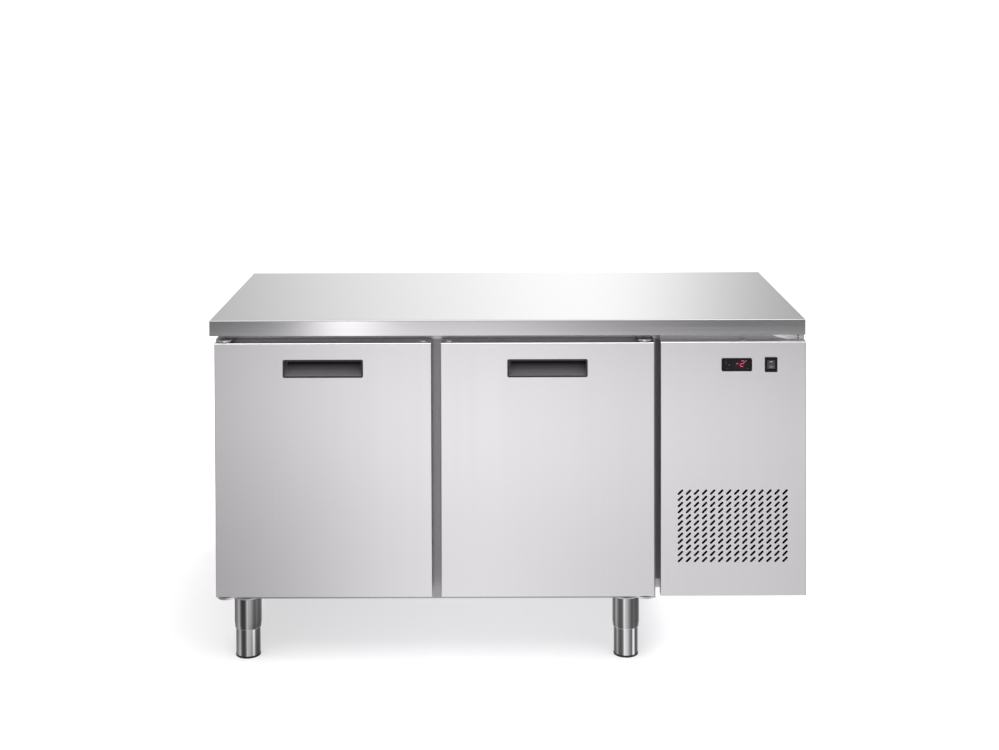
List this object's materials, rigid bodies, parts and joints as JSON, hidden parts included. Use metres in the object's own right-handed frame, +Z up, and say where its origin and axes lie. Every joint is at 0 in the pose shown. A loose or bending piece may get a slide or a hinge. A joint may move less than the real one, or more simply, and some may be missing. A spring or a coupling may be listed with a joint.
{
  "type": "undercounter refrigerator",
  "caption": "Refrigerated counter with a steel worktop, an insulated cabinet behind hinged doors, a cooling unit in an end compartment and adjustable legs.",
  "frame": {"origin": "middle of the footprint on the floor, under the feet", "axes": "+X to the right as seen from the front, -Y to the front (the doors' side), +Z up"},
  "size_m": [1.45, 0.714, 0.85],
  "materials": {
    "stainless_satin": "satin brushed stainless sheet",
    "stainless_worktop": "fine brushed stainless worktop",
    "stainless_polished": "polished stainless tube",
    "galvanised": "bare zinc-coated sheet",
    "board": "raw particle board",
    "foam": "blown polyurethane foam",
    "seal_grey": "soft extruded magnetic seal",
    "handle_grey": "fine-grained moulded plastic",
    "nylon": "moulded nylon",
    "hinge_steel": "bright stainless plate",
    "foot_steel": "polished tube on a plastic base ring",
    "wire_grey": "plastic-coated wire",
    "fins": "bare aluminium fins on copper tube",
    "cover_steel": "satin stainless sheet",
    "tray_plastic": "moulded tray",
    "fan_black": "moulded fan",
    "motor_black": "coated motor can and arms",
    "compressor_black": "semi-gloss black enamel",
    "rubber_black": "moulded rubber",
    "copper": "drawn copper",
    "controller_black": "smooth black fascia",
    "window_black": "tinted display window",
    "switch_black": "moulded switch body",
    "rocker_black": "moulded rocker",
    "gland_black": "moulded gland",
    "screw_steel": "bright screws"
  },
  "bodies": {
    "cabinet": {"worktop": "stainless_worktop", "worktop_core": "board", "left_side_panel": "stainless_satin", "right_side_panel": "stainless_satin", "back_panel": "galvanised", "bottom_panel": "galvanised", "front_frame": "stainless_satin", "centre_mullion": "stainless_satin", "inner_liner": "stainless_satin", "foam_insulation": "foam", "upper_hinges": "hinge_steel", "lower_hinges": "hinge_steel", "leg_plates": "galvanised", "leg_sleeves": "stainless_polished", "shelf_uprights": "stainless_satin", "shelf_runners": "stainless_satin", "left_shelf": "wire_grey", "right_shelf": "wire_grey", "evaporator_cover": "cover_steel", "evaporator_coil": "fins", "drip_tray": "tray_plastic", "evaporator_fan_motor": "motor_black", "machine_base_tray": "galvanised", "machine_front_panel": "stainless_satin", "machine_front_rails": "galvanised", "machine_side_panel": "stainless_satin", "machine_back_panel": "galvanised", "cable_gland": "gland_black", "controller_case": "controller_black", "controller_window": "window_black", "switch_bezel": "switch_black", "condenser_coil": "fins", "condenser_shroud": "galvanised", "condenser_fan_motor": "motor_black", "compressor": "compressor_black", "compressor_grommets": "rubber_black", "terminal_cover": "motor_black", "filter_drier": "copper", "refrigerant_pipes": "copper", "condensate_pan": "tray_plastic", "screws": "screw_steel"},
    "left_door": {"left_door_skin": "stainless_satin", "left_door_liner": "stainless_satin", "left_door_foam": "foam", "left_door_gasket": "seal_grey", "left_door_handle": "handle_grey", "left_door_bushes": "nylon"},
    "right_door": {"right_door_skin": "stainless_satin", "right_door_liner": "stainless_satin", "right_door_foam": "foam", "right_door_gasket": "seal_grey", "right_door_handle": "handle_grey", "right_door_bushes": "nylon"},
    "front_left_foot": {"front_left_foot": "foot_steel"},
    "front_right_foot": {"front_right_foot": "foot_steel"},
    "back_left_foot": {"back_left_foot": "foot_steel"},
    "back_right_foot": {"back_right_foot": "foot_steel"},
    "condenser_fan": {"condenser_fan": "fan_black"},
    "evaporator_fan": {"evaporator_fan": "fan_black"},
    "switch_rocker": {"switch_rocker": "rocker_black"}
  },
  "joints": [
    {"name": "left_door_hinge", "type": "hinge", "parent": "cabinet", "child": "left_door", "pos_m": [-0.689, -0.333, 0.4855], "axis": [0, 0, -1], "range_deg": [0, 105], "stiffness_Nm_per_rad": 0.8, "springref_deg": -34.38},
    {"name": "right_door_hinge", "type": "hinge", "parent": "cabinet", "child": "right_door", "pos_m": [0.3345, -0.333, 0.4855], "axis": [0, 0, 1], "range_deg": [0, 105], "stiffness_Nm_per_rad": 0.8, "springref_deg": -34.38},
    {"name": "condenser_fan_spin", "type": "hinge", "parent": "cabinet", "child": "condenser_fan", "pos_m": [0.54825, -0.219, 0.3515], "axis": [0, -1, 0], "continuous": true},
    {"name": "evaporator_fan_spin", "type": "hinge", "parent": "cabinet", "child": "evaporator_fan", "pos_m": [0.24, 0.02, 0.64], "axis": [-1, 0, 0], "continuous": true},
    {"name": "power_switch", "type": "hinge", "parent": "cabinet", "child": "switch_rocker", "pos_m": [0.6389, -0.351, 0.74145], "axis": [1, 0, 0], "range_deg": [0, 16]},
    {"name": "front_left_foot_screw", "type": "slide", "parent": "cabinet", "child": "front_left_foot", "axis": [0, 0, -1], "range_m": [-0.02, 0.03]},
    {"name": "front_right_foot_screw", "type": "slide", "parent": "cabinet", "child": "front_right_foot", "axis": [0, 0, -1], "range_m": [-0.02, 0.03]},
    {"name": "back_left_foot_screw", "type": "slide", "parent": "cabinet", "child": "back_left_foot", "axis": [0, 0, -1], "range_m": [-0.02, 0.03]},
    {"name": "back_right_foot_screw", "type": "slide", "parent": "cabinet", "child": "back_right_foot", "axis": [0, 0, -1], "range_m": [-0.02, 0.03]}
  ]
}
